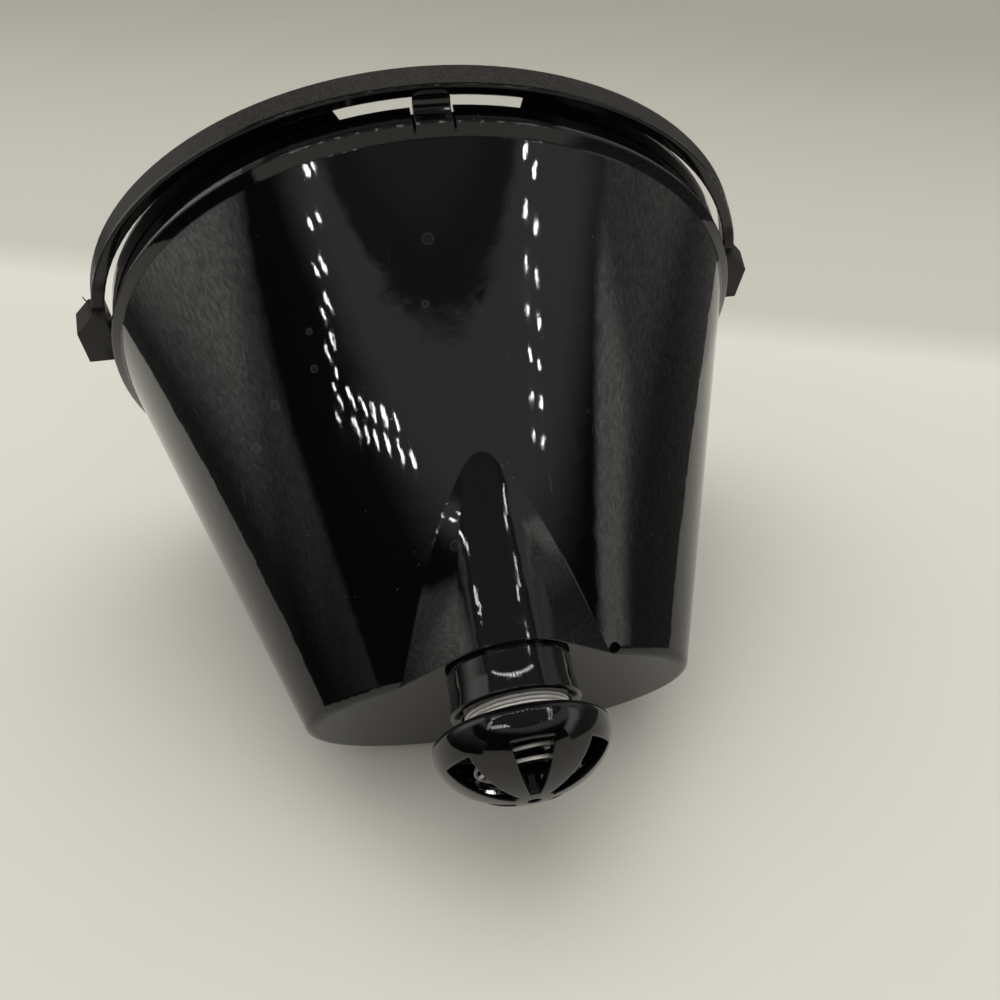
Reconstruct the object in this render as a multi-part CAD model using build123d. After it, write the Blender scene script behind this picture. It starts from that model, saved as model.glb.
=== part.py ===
from build123d import *
import math
import os

# Brew basket of a drip coffee maker: an oval-bottomed hopper with a round rim, a swinging bail
# handle and a spring-loaded drip-stop valve in the outlet.
# Millimetres. The basket is drawn upright, mouth up, axis on Z, bail pivots on X and the outlet
# towards -Y, and is then laid on its back wall as it rests on a table.

# Hopper wall
wall_height = 87.1
base_half_length = 38.1
base_half_width = 22.6
wall_top_radius = 66.7
wall_thickness = 2.2
floor_thickness = 2.5
base_fillet = 2.0

# Rim
rim_height = 9.0
rim_overhang = 0.7
lip_projection = 0.5
lip_land = 0.6
flare_height = 3.6
rim_chamfer = 0.5

# Notch and clip at the front of the rim
notch_width = 32.5
notch_depth = 5.3
notch_slant = 2.1
clip_width = 6.8
clip_thickness = 1.9
clip_tip_height = 0.9
clip_bow = 0.9
clip_corner = 1.6
slit_width = 0.45
slit_foot = 1.3

# Ribs that keep the paper filter off the wall
rib_count = 12
rib_width = 1.3
rib_depth = 1.1
rib_foot = 12.0
rib_head = 10.0

# Outlet prow and collar
outlet_offset = 21.5
nose_radius = 12.6
prow_height = 37.0
crease_half_base = 19.5
crease_half_top = 7.0
crease_sink = 1.0
flank_overlap = 6.0
collar_radius = 11.6
collar_flare = 0.5
collar_length = 8.8
collar_round = 0.5
groove_height = 0.8
groove_depth = 0.9
spring_recess = 1.2
spring_side_gap = 0.5
outlet_radius = 6.5
seat_width = 1.7
seat_height = 0.8

# Bail handle
strap_gap = 1.4
strap_thickness = 2.6
strap_height = 4.9
strap_rise = 7.8
strap_droop = 2.7
strap_round = 0.45
strap_clip_gap = 0.3
strap_end_gap = 1.2
lug_thickness = 6.85
lug_front = 9.5
lug_shoulder = 4.5
lug_rear = 6.7
lug_height = 5.2
lug_gap = 0.35
neck_length = 4.5
neck_depth = 1.8
pin_radius = 2.2
pin_clearance = 0.05
pin_chamfer = 0.5
ear_thickness = 3.2
ear_radius = 4.4

# Drip-stop valve
cap_radius = 16.3
cap_equator = 14.1
cap_depth = 11.5
cap_wall = 1.7
shoulder_width = 5.0
shoulder_rise = 2.6
cap_mouth_radius = 10.5
window_count = 6
window_half_angle = 14.5
window_inner_radius = 3.6
window_outer_radius = 15.0
hub_boss_radius = 3.8
hub_boss_length = 6.0
hub_hole_radius = 1.3
stem_radius = 2.5
stem_clearance = 0.05
stem_collar = 1.1
stem_collar_length = 2.0
fin_thickness = 1.3
fin_clearance = 0.3
fin_length = 9.0
head_radius = 6.8
head_thickness = 1.6
seal_radius = 8.0
seal_thickness = 1.5
seat_gap = 0.1
wire_diameter = 0.7
coil_radius = 9.3
open_pitch = 2.7
closed_pitch = 0.8
closed_turns_top = 3.0
closed_turns_foot = 1.0
spring_gap = 0.15

# Places worked out from the sizes above
step_z = wall_height
rim_top_z = wall_height + rim_height
rim_radius = wall_top_radius + rim_overhang
notch_floor_z = rim_top_z - notch_depth
rim_inner_radius = wall_top_radius - wall_thickness
strap_radius = rim_radius + strap_gap + strap_thickness
strap_foot_z = step_z + strap_rise
strap_middle_z = strap_foot_z + strap_height / 2
pivot_z = strap_foot_z + lug_height / 2
droop = math.radians(strap_droop)
strap_front_z = pivot_z - strap_radius * math.sin(droop) - lug_height / 2 * math.cos(droop)
strap_end = ear_radius + strap_end_gap
ear_face = rim_radius + lip_projection
lug_inner = ear_face + lug_gap
seat_z = floor_thickness + seat_height
seal_foot_z = seat_z + seat_gap
seal_top_z = seal_foot_z + seal_thickness
spring_seat_z = spring_recess - collar_length
cap_foot_z = -cap_equator - cap_depth
boss_top_z = cap_foot_z + cap_wall / 2 + hub_boss_length

UPWARDS = (Align.CENTER, Align.CENTER, Align.MIN)
DOWNWARDS = (Align.CENTER, Align.CENTER, Align.MAX)


def half_length(z):
    return base_half_length + (wall_top_radius - base_half_length) * z / wall_height


def half_width(z):
    return base_half_width + (wall_top_radius - base_half_width) * z / wall_height


def wall_section(z, inset):
    return Pos(0, 0, z) * Ellipse(half_length(z) - inset, half_width(z) - inset)


def hopper(inset, low, high):
    """Ruled body between two ovals of the tapering wall, inset from its outer face."""
    return loft([wall_section(low, inset), wall_section(high, inset)], ruled=True)


def prow_section(z, inset):
    """Plan of the outlet prow: a round nose with straight flanks that run into the wall."""
    rise = z / prow_height
    top_front = half_width(prow_height) - crease_sink / 3
    lean = (top_front - outlet_offset - nose_radius) * rise ** 2
    centre = Vector(0, -outlet_offset - lean)
    crease_x = crease_half_base + (crease_half_top - crease_half_base) * rise
    wall_y = half_width(z) * math.sqrt(1 - (crease_x / half_length(z)) ** 2)
    crease = Vector(crease_x, crease_sink * rise - wall_y)
    reach = crease - centre
    turn = math.atan2(reach.Y, reach.X) - math.acos(nose_radius / reach.length)
    outward = Vector(math.cos(turn), math.sin(turn))
    along = Vector(-outward.Y, outward.X)
    tangent = centre + outward * (nose_radius - inset)
    end = crease + along * flank_overlap - outward * inset
    front = centre + Vector(0, inset - nose_radius)
    mirrored_end = Vector(-end.X, end.Y)
    mirrored_tangent = Vector(-tangent.X, tangent.Y)
    outline = [
        ThreePointArc(mirrored_tangent, front, tangent),
        Line(tangent, end),
        Line(end, mirrored_end),
        Line(mirrored_end, mirrored_tangent),
    ]
    return Pos(0, 0, z) * make_face(Curve() + outline)


def prow(inset, low):
    """Lofted prow, upright at the foot and leaning forward until the wall swallows it."""
    steps = 4
    heights = [low + (prow_height - low) * i / (steps - 1) for i in range(steps)]
    return loft([prow_section(z, inset) for z in heights])


def rim_ring():
    """Flared lip under the step and the upright band above it."""
    foot = step_z - lip_land - flare_height
    root = half_width(foot) - wall_thickness / 3
    inner = root - wall_thickness / 2
    bore = rim_inner_radius - wall_thickness / 2
    lip = rim_radius + lip_projection
    wall_slope = (0.45, 1)
    flare_slope = (1, 0.75)
    outline = [
        Line((inner, foot), (root, foot)),
        Spline((root, foot), (lip, step_z - lip_land), tangents=[wall_slope, flare_slope]),
        Line((lip, step_z - lip_land), (lip, step_z)),
        Line((lip, step_z), (rim_radius, step_z)),
        Line((rim_radius, step_z), (rim_radius, rim_top_z - rim_chamfer)),
        Line((rim_radius, rim_top_z - rim_chamfer), (rim_radius - rim_chamfer, rim_top_z)),
        Line((rim_radius - rim_chamfer, rim_top_z), (bore, rim_top_z)),
        Line((bore, rim_top_z), (bore, step_z)),
        Line((bore, step_z), (inner, foot)),
    ]
    return revolve(Plane.XZ * make_face(Curve() + outline), Axis.Z)


def ear():
    """Upright ear on the right of the rim, round about the pin of the bail."""
    inner = ear_face - ear_thickness
    plate = Pos(0, (step_z + pivot_z) / 2) * Rectangle(2 * ear_radius, pivot_z - step_z)
    plate += Pos(0, pivot_z) * Circle(ear_radius)
    return extrude(Plane.YZ.offset(inner) * plate, ear_thickness)


def pin_holes():
    return Pos(0, 0, pivot_z) * Rot(0, 90, 0) * Cylinder(pin_radius + pin_clearance, 4 * ear_face)


def notch():
    above = rim_top_z + rim_height
    top_width = notch_width + 2 * notch_slant * (above - notch_floor_z) / notch_depth
    outline = Polyline(
        (-notch_width / 2, notch_floor_z),
        (notch_width / 2, notch_floor_z),
        (top_width / 2, above),
        (-top_width / 2, above),
        close=True,
    )
    return extrude(Plane.XZ * make_face(outline), 2 * rim_radius)


def clip():
    """Springy clip in the notch that curves out under the folded strap."""
    tip = strap_radius - strap_thickness / 4
    top = strap_front_z - strap_clip_gap
    back = rim_radius - clip_thickness
    root = step_z + slit_foot
    tip_foot = top - clip_tip_height
    bow_y = -(rim_radius + tip) / 2 + clip_bow
    bow_z = (root + tip_foot) / 2 + clip_bow
    outline = [
        Line((-back, root), (-rim_radius, root)),
        ThreePointArc((-rim_radius, root), (bow_y, bow_z), (-tip, tip_foot)),
        Line((-tip, tip_foot), (-tip, top)),
        Line((-tip, top), (-back, top)),
        Line((-back, top), (-back, root)),
    ]
    tab = extrude(Plane.YZ * make_face(Curve() + outline), clip_width / 2, both=True)
    corners = tab.edges().filter_by(Axis.Z).group_by(Axis.Y)[0]
    return fillet(corners, clip_corner)


def clip_slit():
    """Slit through the rim beside the clip, on the right."""
    height = notch_floor_z - step_z + slit_foot
    depth = 2 * (rim_radius + lip_projection - rim_inner_radius)
    slit = Box(slit_width, depth, height, align=(Align.MIN, Align.CENTER, Align.MAX))
    return Pos(clip_width / 2, -rim_radius, notch_floor_z) * slit


def cavity():
    """Inside of the hopper and prow, with the filter ribs left standing on the wall."""
    space = hopper(wall_thickness, floor_thickness, wall_height)
    ribbed = hopper(wall_thickness + rib_depth, floor_thickness, wall_height)
    length = wall_height - rib_foot - rib_head
    plate = Box(2 * wall_top_radius, rib_width, length, align=(Align.MIN, Align.CENTER, Align.MIN))
    spacing = 360 / rib_count
    for i in range(rib_count):
        turn = spacing * (i + 0.5)
        if abs(turn - 270) > spacing:
            space -= Pos(0, 0, rib_foot) * Rot(0, 0, turn) * plate - ribbed
    space += prow(wall_thickness, floor_thickness)
    return space + Pos(0, 0, step_z) * Cylinder(rim_inner_radius, 2 * rim_height, align=UPWARDS)


def collar():
    """Outlet boss under the floor: neck groove, flared lip and a recess that seats the spring."""
    lip = collar_radius + collar_flare
    neck = collar_radius - groove_depth
    recess = coil_radius + wire_diameter / 2 + spring_side_gap
    foot = -collar_length
    outline = [
        Line((outlet_radius, floor_thickness / 2), (neck, floor_thickness / 2)),
        Line((neck, floor_thickness / 2), (neck, -groove_height)),
        Line((neck, -groove_height), (collar_radius, -groove_height)),
        Line((collar_radius, -groove_height), (collar_radius, foot / 2)),
        Spline((collar_radius, foot / 2), (lip, foot + collar_round), tangents=[(0, -1), (0.2, -1)]),
        Line((lip, foot + collar_round), (lip - collar_round, foot)),
        Line((lip - collar_round, foot), (recess, foot)),
        Line((recess, foot), (recess, spring_seat_z)),
        Line((recess, spring_seat_z), (outlet_radius, spring_seat_z)),
        Line((outlet_radius, spring_seat_z), (outlet_radius, floor_thickness / 2)),
    ]
    return Pos(0, -outlet_offset, 0) * revolve(Plane.XZ * make_face(Curve() + outline), Axis.Z)


def basket():
    wall = hopper(0, 0, wall_height)
    wall = fillet(wall.edges().group_by(Axis.Z)[0], base_fillet)
    body = wall + prow(0, 0) + rim_ring()
    body -= cavity()
    body -= notch()
    slit = clip_slit()
    body -= slit
    body -= mirror(slit, Plane.YZ)
    body += clip()
    post = ear()
    body += post
    body += mirror(post, Plane.YZ)
    body -= pin_holes()
    outlet = Pos(0, -outlet_offset, 0)
    body += outlet * Cylinder(outlet_radius + seat_width, seat_z, align=UPWARDS)
    body += collar()
    return body - outlet * Cylinder(outlet_radius, 4 * seat_z)


def lug():
    """Block on the right end of the strap, with the pivot pin that snaps into the ear."""
    outer = lug_inner + lug_thickness
    outline = Polyline(
        (lug_inner, lug_rear),
        (outer, lug_rear),
        (outer, -lug_shoulder),
        (strap_radius, -lug_front),
        (lug_inner, -lug_front),
        close=True,
    )
    block = extrude(Plane.XY.offset(strap_foot_z) * make_face(outline), lug_height)
    pin = Cylinder(pin_radius, lug_gap + ear_thickness, align=DOWNWARDS)
    pin = chamfer(pin.edges().group_by(Axis.Z)[0], pin_chamfer)
    return block + Pos(lug_inner, 0, pivot_z) * Rot(0, 90, 0) * pin


def bail_handle():
    """Half-round strap with a lug and a pin at each end, swung down until it lies on the clip."""
    start = math.degrees(math.asin(lug_shoulder / strap_radius))
    section = RectangleRounded(strap_thickness, strap_height, strap_round)
    middle = Pos(strap_radius - strap_thickness / 2, strap_middle_z)
    strap = revolve(Rot(0, 0, start - 180) * (Plane.XZ * middle * section), Axis.Z, 180 - 2 * start)
    forward = (Align.CENTER, Align.MAX, Align.CENTER)
    front = Box(4 * strap_radius, 2 * strap_radius, 2 * strap_height, align=forward)
    necks = Box(4 * strap_radius, neck_length, 2 * neck_depth, align=forward)
    handle = strap & Pos(0, -strap_end, strap_middle_z) * front
    handle -= Pos(0, -lug_front, strap_foot_z) * necks
    block = lug()
    handle += block + mirror(block, Plane.YZ)
    return Pos(0, 0, pivot_z) * Rot(strap_droop, 0, 0) * Pos(0, 0, -pivot_z) * handle


def cap_arcs(inset):
    """Bowl and shoulder of the mushroom's half outline."""
    middle = (cap_radius - shoulder_width, -cap_equator)
    shoulder = EllipticalCenterArc(middle, shoulder_width - inset, shoulder_rise - inset, 0, arc_size=90)
    centre = (0, -cap_equator)
    bowl = EllipticalCenterArc(centre, cap_radius - inset, cap_depth - inset, -90, arc_size=90)
    return bowl, shoulder


def window():
    """One wedge-shaped window of the cap, narrowing towards the hub."""
    reach = 2 * cap_radius
    side = reach * math.tan(math.radians(window_half_angle))
    wedge = make_face(Polyline((0, 0), (reach, side), (reach, -side), close=True))
    gap = wedge & (Circle(window_outer_radius) - Circle(window_inner_radius))
    return extrude(Plane.XY.offset(-cap_equator) * gap, -2 * cap_depth)


def valve_cap():
    """Mushroom cap that the carafe pushes up: closed shoulder, ribbed bowl and central hub."""
    bowl, shoulder = cap_arcs(0)
    inner_bowl, inner_shoulder = cap_arcs(cap_wall)
    mouth_top = shoulder @ 1
    mouth_foot = inner_shoulder @ 1
    lip_top = Vector(cap_mouth_radius, mouth_top.Y)
    lip_foot = Vector(cap_mouth_radius, mouth_foot.Y)
    outline = [
        bowl,
        shoulder,
        Line(mouth_top, lip_top),
        Line(lip_top, lip_foot),
        Line(lip_foot, mouth_foot),
        inner_shoulder,
        inner_bowl,
        Line(inner_bowl @ 0, bowl @ 0),
    ]
    cap = revolve(Plane.XZ * make_face(Curve() + outline), Axis.Z)
    for i in range(window_count):
        cap -= Rot(0, 0, 360 * i / window_count - 90) * window()
    cap += Pos(0, 0, cap_foot_z + cap_wall / 2) * Cylinder(hub_boss_radius, hub_boss_length, align=UPWARDS)
    socket = Cylinder(stem_radius + stem_clearance, cap_depth, align=UPWARDS)
    cap -= Pos(0, 0, cap_foot_z + cap_wall) * socket
    cap -= Pos(0, 0, cap_foot_z) * Cylinder(hub_hole_radius, 4 * cap_wall)
    return Pos(0, -outlet_offset, 0) * cap


def valve_stem():
    """Plunger from the hub of the cap through the outlet, with guide fins and a head on the seal."""
    tip_z = cap_foot_z + cap_wall
    stem = Pos(0, 0, tip_z) * Cylinder(stem_radius, seal_top_z - tip_z, align=UPWARDS)
    ring = Cylinder(stem_radius + stem_collar, stem_collar_length, align=UPWARDS)
    stem += Pos(0, 0, boss_top_z) * ring
    fin = Box(2 * (outlet_radius - fin_clearance), fin_thickness, fin_length, align=DOWNWARDS)
    for turn in (45, 135):
        stem += Pos(0, 0, seal_foot_z) * Rot(0, 0, turn) * fin
    head = Cylinder(head_radius, head_thickness, align=UPWARDS)
    head = fillet(head.edges().group_by(Axis.Z)[-1], head_thickness / 2)
    stem += Pos(0, 0, seal_top_z) * head
    return Pos(0, -outlet_offset, 0) * stem


def valve_seal():
    """Silicone washer between the head of the stem and the seat round the outlet."""
    ring = Circle(seal_radius) - Circle(stem_radius + stem_clearance)
    return Pos(0, -outlet_offset, seal_foot_z) * extrude(ring, seal_thickness)


def turns(pitch, height, start_z, start_turn):
    helix = Helix(pitch=pitch, height=height, radius=coil_radius)
    return Pos(0, 0, start_z) * Rot(0, 0, start_turn) * helix


def valve_spring():
    """Return spring with closed end coils, between the collar's recess and the bowl of the cap."""
    outer = coil_radius + wire_diameter / 2
    bowl_rest = math.sqrt(1 - (outer / (cap_radius - cap_wall)) ** 2)
    foot_z = -cap_equator - (cap_depth - cap_wall) * bowl_rest + wire_diameter / 2 + spring_gap
    head_z = spring_seat_z - wire_diameter / 2 - spring_gap
    foot_height = closed_pitch * closed_turns_foot
    top_height = closed_pitch * closed_turns_top
    open_height = head_z - foot_z - foot_height - top_height
    foot_turn = 360 * closed_turns_foot
    top_turn = foot_turn + 360 * open_height / open_pitch
    foot = turns(closed_pitch, foot_height, foot_z, 0)
    middle = turns(open_pitch, open_height, foot_z + foot_height, foot_turn)
    top = turns(closed_pitch, top_height, head_z - top_height, top_turn)
    path = Wire([foot.edge(), middle.edge(), top.edge()])
    section = Plane(origin=foot @ 0, z_dir=foot % 0) * Circle(wire_diameter / 2)
    coil = sweep(section, path=path, is_frenet=True, transition=Transition.TRANSFORMED)
    return Pos(0, -outlet_offset, 0) * coil


def rest_angle():
    """Slope of the basket's axis when the rim's lip and the rounded foot lie on a table."""
    lean = math.atan2(wall_top_radius - base_half_width, wall_height)
    inset = base_fillet / math.tan((math.pi / 2 + lean) / 2)
    across = rim_radius + lip_projection - (base_half_width - inset)
    up = step_z - lip_land - base_fillet
    span = math.hypot(across, up)
    return math.degrees(math.atan2(across, up) - math.asin(base_fillet / span))


parts = {
    "basket": basket(),
    "bail_handle": bail_handle(),
    "valve_cap": valve_cap(),
    "valve_stem": valve_stem(),
    "valve_seal": valve_seal(),
    "valve_spring": valve_spring(),
}
lay = Rot(rest_angle() - 90, 0, 0)
laid = {name: lay * part for name, part in parts.items()}
box = Compound(list(laid.values())).bounding_box()
place = Pos(0, -box.center().Y, -box.min.Z)

os.makedirs("parts", exist_ok=True)
for name, part in laid.items():
    export_step(place * part, "parts/" + name + ".step")
print("slope of the axis", rest_angle())
print("shift along Y and Z", -box.center().Y, -box.min.Z)
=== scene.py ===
import math

import bpy
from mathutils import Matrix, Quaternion, Vector


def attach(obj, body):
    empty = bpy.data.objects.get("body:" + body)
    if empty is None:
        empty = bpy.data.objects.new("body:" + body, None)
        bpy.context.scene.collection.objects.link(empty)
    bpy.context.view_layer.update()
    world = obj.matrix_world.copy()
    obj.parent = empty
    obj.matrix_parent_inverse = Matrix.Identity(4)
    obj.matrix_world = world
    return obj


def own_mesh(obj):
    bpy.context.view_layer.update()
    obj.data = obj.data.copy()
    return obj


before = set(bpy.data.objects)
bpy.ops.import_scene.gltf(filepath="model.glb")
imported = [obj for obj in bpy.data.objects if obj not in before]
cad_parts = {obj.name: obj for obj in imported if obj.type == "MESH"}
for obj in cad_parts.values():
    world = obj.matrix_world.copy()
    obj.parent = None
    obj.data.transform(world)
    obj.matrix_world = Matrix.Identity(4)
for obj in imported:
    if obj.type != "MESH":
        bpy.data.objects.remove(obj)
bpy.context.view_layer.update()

# Lengths are in metres, except where a comment says mm.
MM = 0.001
scene = bpy.context.scene
scene.view_settings.view_transform = "Standard"

# The basket's own directions as it lies: up its axis from the outlet to the mouth, and out of its front.
# The origin is the middle of its base.
AXIS_SLOPE = math.radians(27.651)
AXIS = Vector((0, math.cos(AXIS_SLOPE), math.sin(AXIS_SLOPE)))
FRONT = Vector((0, -math.sin(AXIS_SLOPE), math.cos(AXIS_SLOPE)))
BASE_MIDDLE = Vector((0, -40.579, 20.002)) * MM

# Camera at the photo's angle: its turn is a quaternion, lens and sensor are in mm, and the shift is a share
# of the sensor's width
CAMERA_PLACE = (-0.02481, -0.21774, 0.19665)
CAMERA_TURN = (0.893083, 0.431872, -0.062838, -0.109273)
CAMERA_LENS = 44.898
CAMERA_SENSOR = 36
CAMERA_SHIFT = (-0.12, 0.06)
CAMERA_CLIP = (0.01, 20)

# Photo tent: a flat pale sheet, painted darker behind the basket as painted shade where the real sheet
# bends up, with a painted highlight along the bend, white walls at the sides, a dark opening in front and
# rows of small lamps under the roof
FLOOR_SIZE = 6.0
FLOOR_TONE = (0.70, 0.68, 0.62)
# Painted shade of the sheet where it bends up behind the basket
FAR_SHADE_TONE = (0.37, 0.36, 0.31)
# Painted highlight along the crease where the sheet bends up
CREASE_HIGHLIGHT_TONE = (0.80, 0.79, 0.72)
CREASE_HIGHLIGHT_SHARE = 0.15
CLOUD_TONE = (0.55, 0.535, 0.48)
CLOUD_SHARE = 0.06

# Painted shade and a painted highlight mark where the sheet bends, along a straight line on the floor.
# Each span is a distance past that line.
BEND_NORMAL = Vector((0.41, 0.912, 0.0))
BEND_DISTANCE = 0.158
BEND_SPAN = (-0.005, 0.03)
BEND_SHARE = 0.44
BACK_SPAN = (0.02, 0.42)
CREASE_HIGHLIGHT_RISE = (-0.03, 0.0)
CREASE_HIGHLIGHT_FALL = (0.012, 0.0)

# Side walls. A span gives two heights or depths, and then, where it has four numbers, the glow at each.
TENT_HALF_WIDTH = 0.20
TENT_HEIGHT = 0.26
TENT_FRONT = -0.25
TENT_BACK = 0.40
WALL_TONE = (1.0, 0.985, 0.94)
WALL_FOLDS = (260, 260, 520)
WALL_MOTTLE = (0.36, 0.70, 0.72, 1.5)
LEFT_UPWARDS = (0.02, 0.13, 0.06, 1.05)
LEFT_BACKWARDS = (-0.055, -0.012, 0.36, 1.0)
LEFT_FRONT_END = (-0.13, -0.08, 0.6, 1.0)
RIGHT_UPWARDS = (0.07, 0.12, 0.12, 0.42)

# The left wall ends in a soft curve along (y - EDGE_Y) * (z - EDGE_Z) = EDGE_PRODUCT
EDGE_Y = -0.03
EDGE_Z = 0.10
EDGE_PRODUCT = -0.0016

# Bright strip along the right wall: its fall towards the front, its middle at y = 0, how it fades in
# from below and from behind, and where the wall ends above it
BAND_FALL = 0.36
BAND_MIDDLE = 0.175
BAND_GLOW = 0.75
BAND_FROM_BELOW = (-0.055, -0.015)
BAND_FROM_BEHIND = (-0.04, -0.08)
BAND_TOP = (0.040, 0.015)

# Rows of lamps under the roof: first place, last place, number of lamps and how much they are stretched
LAMP_HEIGHT = 0.20
LAMP_HALF_WIDTH = 0.0019
LAMP_HALF_LENGTH = 0.0031
LAMP_SIDES = 12
LAMP_TONE = (1.0, 0.99, 0.97)
LAMP_GLOW = 46.0
LAMP_ROWS = (
    ((-0.102, -0.060), (-0.197, -0.166), 7, 1.0),
    ((-0.091, -0.061), (-0.178, -0.158), 7, 1.0),
    ((0.088, -0.061), (0.113, -0.187), 7, 1.0),
    ((0.101, -0.066), (0.131, -0.192), 7, 1.0),
    ((-0.152, -0.157), (-0.088, -0.174), 5, 1.9),
    ((-0.163, -0.172), (-0.078, -0.194), 6, 1.9),
    ((-0.105, -0.052), (0.105, -0.052), 15, 1.0),
)

# Large lamp above the tent, for the soft shadow
ROOF_LIGHT_PLACE = (0.0, 0.10, 1.5)
ROOF_LIGHT_AIM = (0.0, 0.10, 0.0)
ROOF_LIGHT_SIZE = 1.8
ROOF_LIGHT_POWER = 9.0

# Light of the tent: from all round on dull surfaces, and from the roof in the gloss. A span is how far
# upwards a direction points, from 0 for level to 1 for straight up. The roof's edge leans down to the right.
SOFT_TONE = (1.0, 0.985, 0.95)
SOFT_GLOW = 0.78
ROOM_GLOW = 0.01
ROOF_TONE = (1.0, 0.99, 0.97)
ROOF_GLOW = 0.11
ROOF_EDGE_GLOW = 0.54
OVERHEAD_GLOW = 0.19
ROOF_LEAN = 0.10
ROOF_EDGE_SPAN = (0.46, 0.60)
ROOF_SPAN = (0.672, 0.697)
OVERHEAD_SPAN = (0.72, 0.76)

# Plastics: edges of the mouldings are a little round, and the gloss has a faint haze round each lamp
PLASTIC_IOR = 1.5
EDGE_ROUNDING = 0.0005
HAZE_SHARE = 0.03
HAZE_ROUGHNESS = 0.38
BODY_TONE = (0.0008, 0.0008, 0.0011)
CAP_TONE = (0.0010, 0.0009, 0.0009)
STEM_TONE = (0.0012, 0.0012, 0.0012)
MARK_TONE = (0.16, 0.16, 0.155)
BODY_DUST = 0.35
VALVE_DUST = 0.15
SCRATCH_SHARE = 0.10
DROP_SHARE = 0.10
GLEAM = 0.5

# Dull, unreflecting spot at the foot of the wall
DULL_SPOT_PLACE = (0.0207, -0.0489, 0.0376)
DULL_SPOT_RADIUS = 0.0013

# The strap's own middle plane, which droops from the pivots, and the height from it below which the strap is
# glossy and painted darker as painted shade, away from the lugs
STRAP_DROOP = math.radians(2.7)
STRAP_UP = 97.5 * MM
STRAP_NORMAL = AXIS + FRONT * math.tan(STRAP_DROOP)
SHADE_AND_GLOSS_BELOW = -2.0 * MM
SHADE_AND_GLOSS_FADE = 0.2 * MM
LUG_OUT = 20 * MM
STRAP_DARK_TONE = (0.008, 0.0076, 0.0072)
STRAP_PALE_TONE = (0.012, 0.0114, 0.0105)
# Pale tone for rubbed edges, and for dust and painted light from above on the upward faces
STRAP_DUST_AND_SHEEN_TONE = (0.07, 0.066, 0.060)
# Darker tone of the glossy part below, as painted shade
STRAP_SHADE_AND_GLOSS_TONE = (0.0012, 0.0012, 0.0012)
STRAP_GLEAM = 0.05
RUB_SHARE = 0.35

SILICONE_DARK_TONE = (0.40, 0.385, 0.36)
SILICONE_PALE_TONE = (0.58, 0.565, 0.54)
STEEL_BRIGHT_TONE = (0.78, 0.76, 0.72)
STEEL_DULL_TONE = (0.55, 0.53, 0.50)

# Mould flash on the left lug
FLASH_HOOK = (
    (-0.0709, 0.0441, 0.0739),
    (-0.0714, 0.0430, 0.0744),
    (-0.0716, 0.0410, 0.0755),
    (-0.0719, 0.0405, 0.0766),
)
FLASH_STUB = (
    (-0.0745, 0.0453, 0.0675),
    (-0.0750, 0.0459, 0.0677),
    (-0.0751, 0.0452, 0.0684),
)
FLASH_RADIUS = 0.00013
FLASH_SIDES = 6

# Thin dark block, painted shade that darkens the slit on each side of the clip: its span across, out of the
# front and up the axis, in mm
SLIT_SHADE_ACROSS = (3.3, 3.95)
SLIT_SHADE_OUT = (64.9, 65.6)
SLIT_SHADE_UP = (85.7, 90.75)


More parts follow.
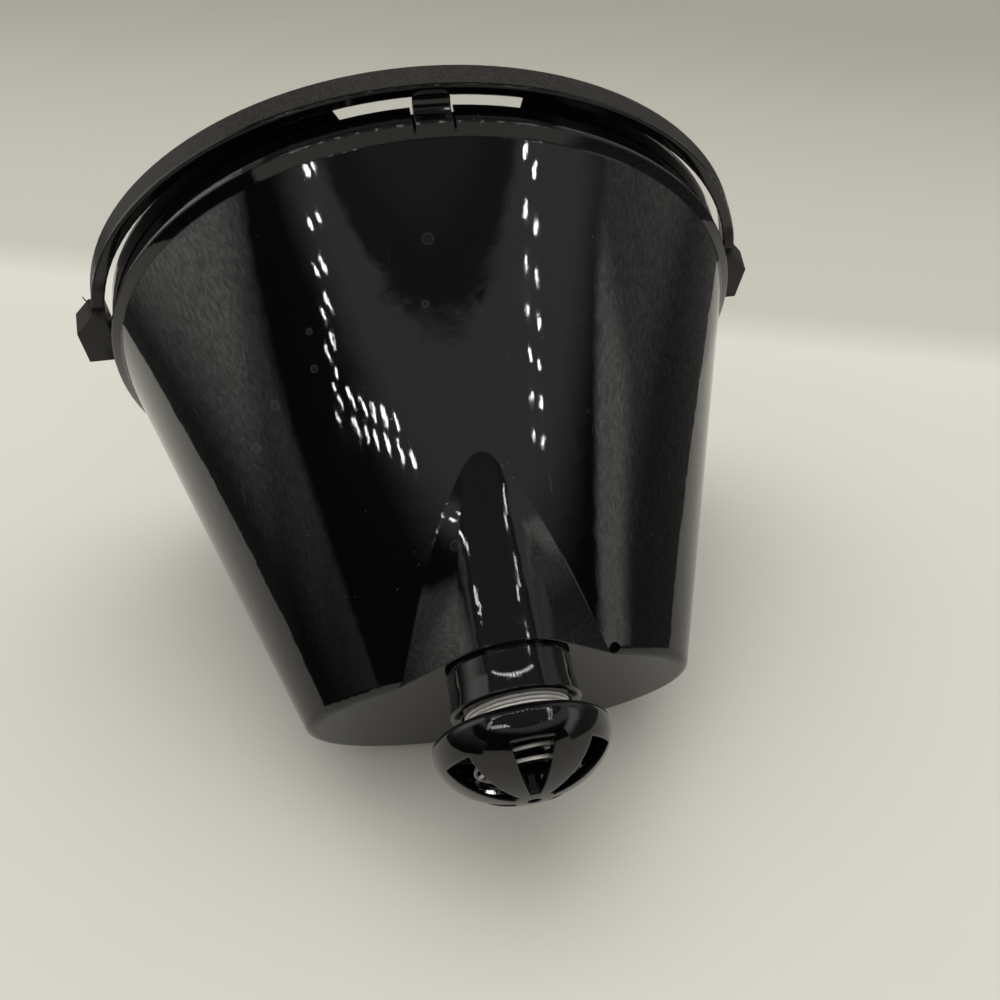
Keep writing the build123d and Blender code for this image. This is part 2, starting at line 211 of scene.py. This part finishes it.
class Graph:
    """Node tree of one material or world, with short calls for the nodes used here."""

    def __init__(self, name, kind=bpy.data.materials):
        self.owner = kind.new(name)
        self.owner.use_nodes = True
        self.tree = self.owner.node_tree
        self.tree.nodes.clear()
        self.place = self.add("ShaderNodeTexCoord").outputs["Object"]

    def add(self, kind, **settings):
        node = self.tree.nodes.new(kind)
        for key, value in settings.items():
            setattr(node, key, value)
        return node

    def put(self, socket, value):
        """Link a socket to another one, or set its value."""
        if isinstance(value, bpy.types.NodeSocket):
            self.tree.links.new(value, socket)
        elif isinstance(value, tuple) and socket.type == "RGBA":
            socket.default_value = (*value, 1)
        else:
            socket.default_value = value

    def fill(self, node, *values):
        """Put the values into the node's first sockets, and give its first output."""
        for socket, value in zip(node.inputs, values):
            self.put(socket, value)
        return node.outputs[0]

    def math(self, operation, *values):
        return self.fill(self.add("ShaderNodeMath", operation=operation), *values)

    def times(self, a, b):
        return self.math("MULTIPLY", a, b)

    def most(self, a, b):
        return self.math("MAXIMUM", a, b)

    def less(self, a, b):
        return self.math("SUBTRACT", a, b)

    def scaled(self, value, factor, offset):
        return self.math("MULTIPLY_ADD", value, factor, offset)

    def ramp(self, value, low, high, out_low=0.0, out_high=1.0):
        """Smooth step from out_low at low to out_high at high."""
        node = self.add("ShaderNodeMapRange", interpolation_type="SMOOTHSTEP")
        return self.fill(node, value, low, high, out_low, out_high)

    def stretched(self, scale, turn=(0.0, 0.0, 0.0)):
        node = self.add("ShaderNodeMapping")
        self.put(node.inputs["Vector"], self.place)
        node.inputs["Rotation"].default_value = turn
        node.inputs["Scale"].default_value = scale
        return node.outputs[0]

    def noise(self, scale=1.0, detail=2.0, vector=None, distortion=0.0):
        node = self.add("ShaderNodeTexNoise")
        self.put(node.inputs["Vector"], vector or self.place)
        node.inputs["Scale"].default_value = scale
        node.inputs["Detail"].default_value = detail
        node.inputs["Distortion"].default_value = distortion
        return node.outputs["Fac"]

    def cells(self, scale):
        """Distance from the nearest of many scattered points."""
        node = self.add("ShaderNodeTexVoronoi")
        self.put(node.inputs["Vector"], self.place)
        node.inputs["Scale"].default_value = scale
        return node.outputs["Distance"]

    def mix(self, share, a, b):
        """Mix of two colours, through the node's colour sockets."""
        node = self.add("ShaderNodeMix", data_type="RGBA")
        self.put(node.inputs[0], share)
        self.put(node.inputs[6], a)
        self.put(node.inputs[7], b)
        return node.outputs[2]

    def split(self, vector):
        """Sockets X, Y and Z of a vector."""
        node = self.add("ShaderNodeSeparateXYZ")
        self.put(node.inputs[0], vector)
        return node.outputs

    def measure(self, operation, vector):
        """Dot product with the vector, or distance from it."""
        node = self.add("ShaderNodeVectorMath", operation=operation)
        self.put(node.inputs[0], self.place)
        node.inputs[1].default_value = vector
        return node.outputs["Value"]

    def along(self, direction):
        """Distance from the middle of the basket's base in that direction."""
        return self.less(self.measure("DOT_PRODUCT", direction), BASE_MIDDLE.dot(direction))

    def bump(self, height, distance, normal=None):
        node = self.add("ShaderNodeBump")
        self.put(node.inputs["Height"], height)
        node.inputs["Distance"].default_value = distance
        node.inputs["Strength"].default_value = 1.0
        if normal is not None:
            self.put(node.inputs["Normal"], normal)
        return node.outputs[0]

    def rounded(self, radius):
        node = self.add("ShaderNodeBevel", samples=4)
        node.inputs["Radius"].default_value = radius
        return node.outputs[0]

    def blend(self, share, a, b):
        """Mix of two shaders."""
        return self.fill(self.add("ShaderNodeMixShader"), share, a, b)

    def show(self, shader, output="ShaderNodeOutputMaterial"):
        self.put(self.add(output).inputs["Surface"], shader)
        return self.owner

    def surface(self, **values):
        shader = self.add("ShaderNodeBsdfPrincipled")
        for key, value in values.items():
            self.put(shader.inputs[key.replace("_", " ")], value)
        return self.show(shader.outputs[0])

    def light(self, kind, colour, strength):
        return self.fill(self.add(kind), colour, strength)

    def glow(self, colour, strength, cover=1.0):
        """Glowing surface, see-through where cover is 0."""
        clear = self.add("ShaderNodeBsdfTransparent").outputs[0]
        return self.show(self.blend(cover, clear, self.light("ShaderNodeEmission", colour, strength)))


def dust_specks(g, share):
    """Small specks that gather in clusters."""
    specks = g.ramp(g.cells(scale=420), 0.10, 0.04)
    clusters = g.ramp(g.noise(scale=90, detail=3), 0.52, 0.72)
    return g.times(g.times(specks, clusters), share)


def fine_scratches(g):
    hairs = g.noise(vector=g.stretched(scale=(1400, 40, 60), turn=(0.3, 0.2, 0.5)))
    return g.ramp(hairs, 0.74, 0.80, 0.0, SCRATCH_SHARE)


def dried_drops(g):
    """Pale rings with a fainter middle, on some parts of the surface."""
    away = g.cells(scale=85)
    ring = g.times(g.ramp(away, 0.10, 0.09), g.ramp(away, 0.06, 0.08))
    middle = g.ramp(away, 0.09, 0.07, 0.0, 0.35)
    where = g.ramp(g.noise(scale=38), 0.48, 0.58)
    return g.times(g.times(g.most(ring, middle), where), DROP_SHARE)


def gloss_plastic(name, tone, dust_share, dull_spot=0.0):
    """Glossy black moulding with flow streaks, smudges, dried drops, dust, scratches and a dull spot."""
    g = Graph(name)
    dust = dust_specks(g, dust_share)
    marks = g.most(g.most(dust, fine_scratches(g)), dried_drops(g))
    smudge = g.ramp(g.noise(scale=55, detail=4, distortion=0.6), 0.45, 0.75)
    rough = g.math("ADD", g.scaled(smudge, 0.035, 0.028), g.times(dust, 0.5))
    spot = g.ramp(g.measure("DISTANCE", DULL_SPOT_PLACE), DULL_SPOT_RADIUS, 0.8 * DULL_SPOT_RADIUS, 0.0, dull_spot)
    streaks = g.noise(detail=3, vector=g.stretched(scale=(900, 120, 120), turn=(0.5, 0, 0)))
    normal = g.bump(g.noise(scale=260), 0.000012, normal=g.rounded(EDGE_ROUNDING))
    normal = g.bump(streaks, 0.000006, normal=normal)
    return g.surface(
        Base_Color=g.mix(marks, tone, MARK_TONE), Roughness=rough, IOR=PLASTIC_IOR,
        Specular_IOR_Level=g.scaled(spot, -GLEAM, GLEAM), Normal=normal,
        Coat_Weight=HAZE_SHARE, Coat_Roughness=HAZE_ROUGHNESS,
    )


def satin_plastic(name):
    """Satin dark grey strap with a fine grain, rubbed paler at its edges, paler above from dust and painted
    light, and glossy below with a darker tone of painted shade.
    """
    g = Graph(name)
    rub = g.ramp(g.add("ShaderNodeNewGeometry").outputs["Pointiness"], 0.51, 0.56)
    patch = g.noise(scale=45, detail=4, distortion=0.5)
    below = g.ramp(g.less(g.along(STRAP_NORMAL), STRAP_UP), SHADE_AND_GLOSS_BELOW + SHADE_AND_GLOSS_FADE, SHADE_AND_GLOSS_BELOW)
    low = g.times(below, g.ramp(g.along(FRONT), LUG_OUT, 1.2 * LUG_OUT))
    facing = g.split(g.add("ShaderNodeTexCoord").outputs["Normal"])
    grains = g.ramp(g.noise(scale=1600, detail=3), 0.35, 0.65, 0.32, 0.52)
    # Upward faces paler: settled dust together with painted light from above
    settled_dust_and_sheen = g.times(g.ramp(facing["Z"], 0.2, 0.9), grains)
    colour = g.mix(g.ramp(patch, 0.35, 0.7), STRAP_DARK_TONE, STRAP_PALE_TONE)
    colour = g.mix(g.most(g.times(rub, RUB_SHARE), settled_dust_and_sheen), colour, STRAP_DUST_AND_SHEEN_TONE)
    # Painted shade: darker below the strap's middle, away from the lugs, and glossier there
    colour = g.mix(low, colour, STRAP_SHADE_AND_GLOSS_TONE)
    rough = g.scaled(low, -0.26, g.ramp(patch, 0.3, 0.75, 0.32, 0.46))
    edge = g.rounded(EDGE_ROUNDING)
    normal = g.bump(g.noise(scale=2600), 0.00004, normal=edge)
    return g.surface(
        Base_Color=colour, Roughness=rough, IOR=PLASTIC_IOR, Specular_IOR_Level=STRAP_GLEAM, Normal=normal,
        Coat_Weight=g.scaled(low, 0.6, 0.04), Coat_Roughness=0.08, Coat_Normal=edge,
    )


def silicone_rubber(name):
    """Pale, dull rubber of the seal."""
    g = Graph(name)
    tone = g.mix(g.noise(scale=160, detail=3), SILICONE_DARK_TONE, SILICONE_PALE_TONE)
    normal = g.bump(g.noise(scale=1800), 0.00003)
    return g.surface(Base_Color=tone, Roughness=0.55, Subsurface_Weight=0.1, Normal=normal)


def spring_steel(name):
    """Bright steel wire with dull patches and an uneven polish."""
    g = Graph(name)
    dull = g.ramp(g.noise(scale=300, detail=3), 0.5, 0.75)
    rough = g.ramp(g.noise(scale=900, detail=3), 0.3, 0.7, 0.32, 0.48)
    tone = g.mix(dull, STEEL_BRIGHT_TONE, STEEL_DULL_TONE)
    return g.surface(Base_Color=tone, Metallic=0.45, Roughness=rough)


def sheet_paper(name):
    """Pale sheet of the tent, painted darker as painted shade where it bends up behind the basket, with a
    painted highlight along the bend.
    """
    g = Graph(name)
    past = g.less(g.measure("DOT_PRODUCT", BEND_NORMAL), BEND_DISTANCE)
    # Painted shade past the line where the sheet bends up
    back_shade = g.ramp(past, *BACK_SPAN, 0.0, 1 - BEND_SHARE)
    tone = g.mix(g.scaled(g.ramp(past, *BEND_SPAN), BEND_SHARE, back_shade), FLOOR_TONE, FAR_SHADE_TONE)
    # Painted highlight along the bend
    crease_highlight = g.times(g.ramp(past, *CREASE_HIGHLIGHT_RISE), g.ramp(past, *CREASE_HIGHLIGHT_FALL))
    tone = g.mix(g.times(crease_highlight, CREASE_HIGHLIGHT_SHARE), tone, CREASE_HIGHLIGHT_TONE)
    cloud = g.ramp(g.noise(scale=9, detail=3), 0.3, 0.75)
    tone = g.mix(g.times(cloud, CLOUD_SHARE), tone, CLOUD_TONE)
    normal = g.bump(g.noise(scale=700), 0.00002)
    return g.surface(Base_Color=tone, Roughness=0.6, Specular_IOR_Level=0.05, Normal=normal)


def mesh_object(name, points, faces, material):
    data = bpy.data.meshes.new(name)
    data.from_pydata([tuple(p) for p in points], [], faces)
    data.materials.append(material)
    made = bpy.data.objects.new(name, data)
    scene.collection.objects.link(made)
    return made


def from_basket(across, out, up):
    """Place in the scene of a point in the basket's own directions, in mm."""
    return BASE_MIDDLE + (Vector((across, 0, 0)) + FRONT * out + AXIS * up) * MM


def slit_shade(name, side, material):
    """Thin dark block in the slit on one side of the clip, as painted shade."""
    points = [from_basket(side * x, out, up) for x in SLIT_SHADE_ACROSS for out in SLIT_SHADE_OUT for up in SLIT_SHADE_UP]
    faces = [(0, 1, 3, 2), (4, 6, 7, 5), (0, 4, 5, 1), (2, 3, 7, 6), (0, 2, 6, 4), (1, 5, 7, 3)]
    return mesh_object(name, points, faces, material)


def ring_angles(sides):
    return [2 * math.pi * i / sides for i in range(sides)]


def thread(name, points, radius, material):
    """Thin round thread through the points."""
    sides = FLASH_SIDES
    points = [Vector(p) for p in points]
    rings, faces = [], []
    for i, point in enumerate(points):
        ahead = points[min(i + 1, len(points) - 1)] - points[max(i - 1, 0)]
        turn = ahead.to_track_quat("Z", "X")
        for angle in ring_angles(sides):
            rings.append(point + turn @ Vector((radius * math.cos(angle), radius * math.sin(angle), 0)))
    for i in range(len(points) - 1):
        for j in range(sides):
            k = (j + 1) % sides
            faces.append((i * sides + j, i * sides + k, (i + 1) * sides + k, (i + 1) * sides + j))
    faces.append(tuple(reversed(range(sides))))
    faces.append(tuple(range(len(rings) - sides, len(rings))))
    return mesh_object(name, rings, faces, material)


def only_in_gloss(made):
    """Leave an object to reflections: the camera, soft light and shadows pass it by."""
    made.visible_camera = False
    made.visible_diffuse = False
    made.visible_shadow = False


def left_glow(g, y, z):
    """Strength and cover of the left wall: brighter upwards, dimmer in front, with a soft upper edge."""
    depth = g.times(g.ramp(y, *LEFT_BACKWARDS), g.ramp(y, *LEFT_FRONT_END))
    edge = g.times(g.less(y, EDGE_Y), g.most(g.less(z, EDGE_Z), 0.0))
    inside = g.ramp(edge, 1.5 * EDGE_PRODUCT, 0.5 * EDGE_PRODUCT)
    return g.times(g.ramp(z, *LEFT_UPWARDS), depth), inside


def right_glow(g, y, z):
    """Strength and cover of the right wall: dim, with a bright strip that falls towards the front."""
    strip = g.less(g.scaled(y, -BAND_FALL, z), BAND_MIDDLE)
    band = g.times(g.ramp(strip, *BAND_FROM_BELOW), g.ramp(y, *BAND_FROM_BEHIND))
    return g.scaled(band, BAND_GLOW, g.ramp(z, *RIGHT_UPWARDS)), g.ramp(strip, *BAND_TOP)


def tent_wall(name, x, shape):
    """White, mottled side wall, seen in the gloss but not by the camera."""
    g = Graph(name)
    place = g.split(g.place)
    strength, cover = shape(g, place["Y"], place["Z"])
    folds = g.noise(detail=3, vector=g.stretched(WALL_FOLDS), distortion=0.6)
    paint = g.glow(WALL_TONE, g.times(strength, g.ramp(folds, *WALL_MOTTLE)), cover)
    outline = ((TENT_FRONT, 0), (TENT_BACK, 0), (TENT_BACK, TENT_HEIGHT), (TENT_FRONT, TENT_HEIGHT))
    made = mesh_object(name, [(x, y, z) for y, z in outline], [(0, 1, 2, 3)], paint)
    only_in_gloss(made)


def lamp_rows():
    """Rows of small round lamps under the tent's roof, seen as dots in the gloss."""
    points, faces = [], []
    for first, last, count, stretch in LAMP_ROWS:
        for i in range(count):
            spot = Vector(first).lerp(Vector(last), i / (count - 1))
            faces.append(tuple(range(len(points), len(points) + LAMP_SIDES)))
            for angle in ring_angles(LAMP_SIDES):
                across = LAMP_HALF_WIDTH * math.cos(angle)
                along = stretch * LAMP_HALF_LENGTH * math.sin(angle)
                points.append((spot.x + across, spot.y + along, LAMP_HEIGHT))
    made = mesh_object("tent_lamps", points, faces, Graph("lamp_glow").glow(LAMP_TONE, LAMP_GLOW))
    only_in_gloss(made)


def roof_light():
    """Large soft lamp that lights the scene without showing in the gloss."""
    data = bpy.data.lights.new("roof_light", "AREA")
    data.shape = "RECTANGLE"
    data.size = data.size_y = ROOF_LIGHT_SIZE
    data.energy = ROOF_LIGHT_POWER
    lamp = bpy.data.objects.new("roof_light", data)
    lamp.location = ROOF_LIGHT_PLACE
    lamp.rotation_mode = "QUATERNION"
    lamp.rotation_quaternion = (Vector(ROOF_LIGHT_AIM) - Vector(ROOF_LIGHT_PLACE)).to_track_quat("-Z", "Y")
    lamp.visible_glossy = False
    scene.collection.objects.link(lamp)


def backdrop_world():
    """Pale surroundings for the camera and soft light, and a dark room with a pale roof in the gloss."""
    g = Graph("tent", bpy.data.worlds)
    look = g.split(g.add("ShaderNodeTexCoord").outputs["Generated"])
    edge = g.ramp(g.scaled(look["X"], ROOF_LEAN, look["Z"]), *ROOF_EDGE_SPAN, ROOM_GLOW, ROOF_EDGE_GLOW)
    behind = g.ramp(look["Z"], *ROOF_SPAN, 0.0, ROOF_EDGE_GLOW - ROOF_GLOW)
    overhead = g.ramp(look["Z"], *OVERHEAD_SPAN, 0.0, OVERHEAD_GLOW - ROOF_GLOW)
    roof = g.math("ADD", g.less(edge, behind), overhead)
    room = g.light("ShaderNodeBackground", ROOF_TONE, roof)
    pale = g.light("ShaderNodeBackground", SOFT_TONE, SOFT_GLOW)
    in_gloss = g.add("ShaderNodeLightPath").outputs["Is Glossy Ray"]
    scene.world = g.show(g.blend(in_gloss, pale, room), "ShaderNodeOutputWorld")


def photo_camera():
    data = bpy.data.cameras.new("camera")
    data.sensor_width = CAMERA_SENSOR
    data.lens = CAMERA_LENS
    data.shift_x, data.shift_y = CAMERA_SHIFT
    data.clip_start, data.clip_end = CAMERA_CLIP
    camera = bpy.data.objects.new("camera", data)
    camera.location = CAMERA_PLACE
    camera.rotation_mode = "QUATERNION"
    camera.rotation_quaternion = Quaternion(CAMERA_TURN)
    scene.collection.objects.link(camera)
    scene.camera = camera


FINISHES = {
    "basket": gloss_plastic("gloss_black_body", BODY_TONE, BODY_DUST, dull_spot=1.0),
    "bail_handle": satin_plastic("satin_black_strap"),
    "valve_cap": gloss_plastic("gloss_black_cap", CAP_TONE, VALVE_DUST),
    "valve_stem": gloss_plastic("gloss_black_stem", STEM_TONE, VALVE_DUST),
    "valve_seal": silicone_rubber("silicone_seal"),
    "valve_spring": spring_steel("steel_wire"),
}
for node, finish in FINISHES.items():
    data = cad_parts[node].data
    data.materials.clear()
    data.materials.append(finish)

half = FLOOR_SIZE / 2
corners = [(-half, -half, 0), (half, -half, 0), (half, half, 0), (-half, half, 0)]
floor = mesh_object("floor", corners, [(0, 1, 2, 3)], sheet_paper("sheet"))

lamp_rows()
tent_wall("tent_left", -TENT_HALF_WIDTH, left_glow)
tent_wall("tent_right", TENT_HALF_WIDTH, right_glow)
roof_light()

for points, name in ((FLASH_HOOK, "flash_hook"), (FLASH_STUB, "flash_stub")):
    whisker = thread(name, points, FLASH_RADIUS, FINISHES["bail_handle"])
    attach(whisker, "handle")
# Painted shade: dark blocks in the slits beside the clip
for side, name in ((-1, "slit_shade_left"), (1, "slit_shade_right")):
    slit_shade_block = slit_shade(name, side, FINISHES["basket"])
    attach(slit_shade_block, "basket")
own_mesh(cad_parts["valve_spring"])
backdrop_world()
photo_camera()
